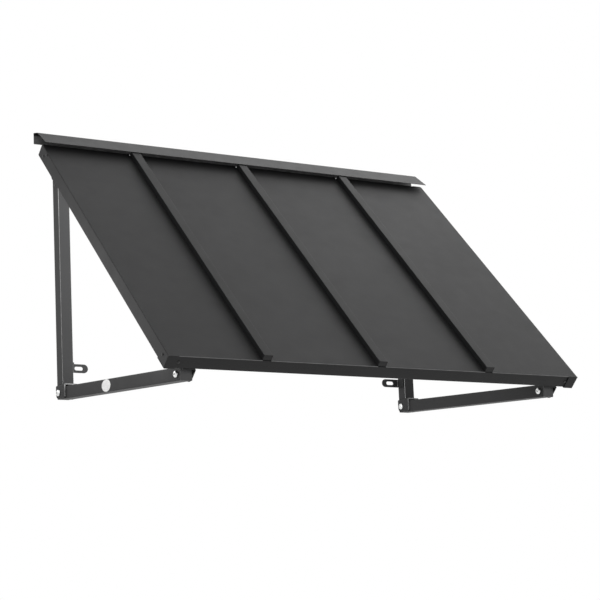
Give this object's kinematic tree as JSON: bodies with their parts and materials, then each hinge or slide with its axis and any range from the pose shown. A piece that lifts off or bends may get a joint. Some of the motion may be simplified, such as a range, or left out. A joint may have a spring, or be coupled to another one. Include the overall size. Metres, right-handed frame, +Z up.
{
  "type": "metal door awning",
  "caption": "Sloping standing-seam sheet-metal awning with a wall flashing, a tube frame, upright wall bars and horizontal support arms.",
  "frame": {"origin": "on the wall plane, at the middle of the wall flashing's back leaf", "axes": "+Z up, +Y into the wall, +X to the right for someone who looks at the wall; the roof slopes down towards -Y"},
  "size_m": [1.1353, 0.6407, 0.6912],
  "materials": {
    "roof_paint": "satin black powder coat",
    "frame_paint": "satin black powder coat",
    "zinc_plate": "bright zinc",
    "black_screw": "black oxide",
    "plug_plastic": "moulded, matt black"
  },
  "bodies": {
    "root": {"front_rail": "frame_paint", "left_arm_front_plug": "plug_plastic", "left_arm_rear_plug": "plug_plastic", "left_bar_plug": "plug_plastic", "left_bar_screw": "black_screw", "left_corner_cap": "frame_paint", "left_corner_screw": "black_screw", "left_fascia_screw": "black_screw", "left_front_bolt": "zinc_plate", "left_front_bracket": "frame_paint", "left_front_nut": "zinc_plate", "left_lower_bracket": "frame_paint", "left_lower_ear": "frame_paint", "left_rail_plug": "plug_plastic", "left_rail_screw_1": "black_screw", "left_rail_screw_2": "black_screw", "left_side_rail": "frame_paint", "left_support_arm": "frame_paint", "left_upper_bolt": "zinc_plate", "left_upper_bracket": "frame_paint", "left_upper_ear": "frame_paint", "left_upper_nut": "zinc_plate", "left_wall_bar": "frame_paint", "left_wall_bolt": "zinc_plate", "left_wall_nut": "zinc_plate", "rear_rail": "frame_paint", "right_arm_front_plug": "plug_plastic", "right_arm_rear_plug": "plug_plastic", "right_bar_plug": "plug_plastic", "right_bar_screw": "black_screw", "right_corner_cap": "frame_paint", "right_corner_screw": "black_screw", "right_fascia_screw": "black_screw", "right_front_bolt": "zinc_plate", "right_front_bracket": "frame_paint", "right_front_nut": "zinc_plate", "right_lower_bracket": "frame_paint", "right_lower_ear": "frame_paint", "right_rail_plug": "plug_plastic", "right_rail_screw_1": "black_screw", "right_rail_screw_2": "black_screw", "right_side_rail": "frame_paint", "right_support_arm": "frame_paint", "right_upper_bolt": "zinc_plate", "right_upper_bracket": "frame_paint", "right_upper_ear": "frame_paint", "right_upper_nut": "zinc_plate", "right_wall_bar": "frame_paint", "right_wall_bolt": "zinc_plate", "right_wall_nut": "zinc_plate", "roof_panel_1": "roof_paint", "roof_panel_2": "roof_paint", "roof_panel_3": "roof_paint", "roof_panel_4": "roof_paint", "seam_cap_1": "roof_paint", "seam_cap_2": "roof_paint", "seam_cap_3": "roof_paint", "wall_flashing": "roof_paint"}
  },
  "joints": []
}
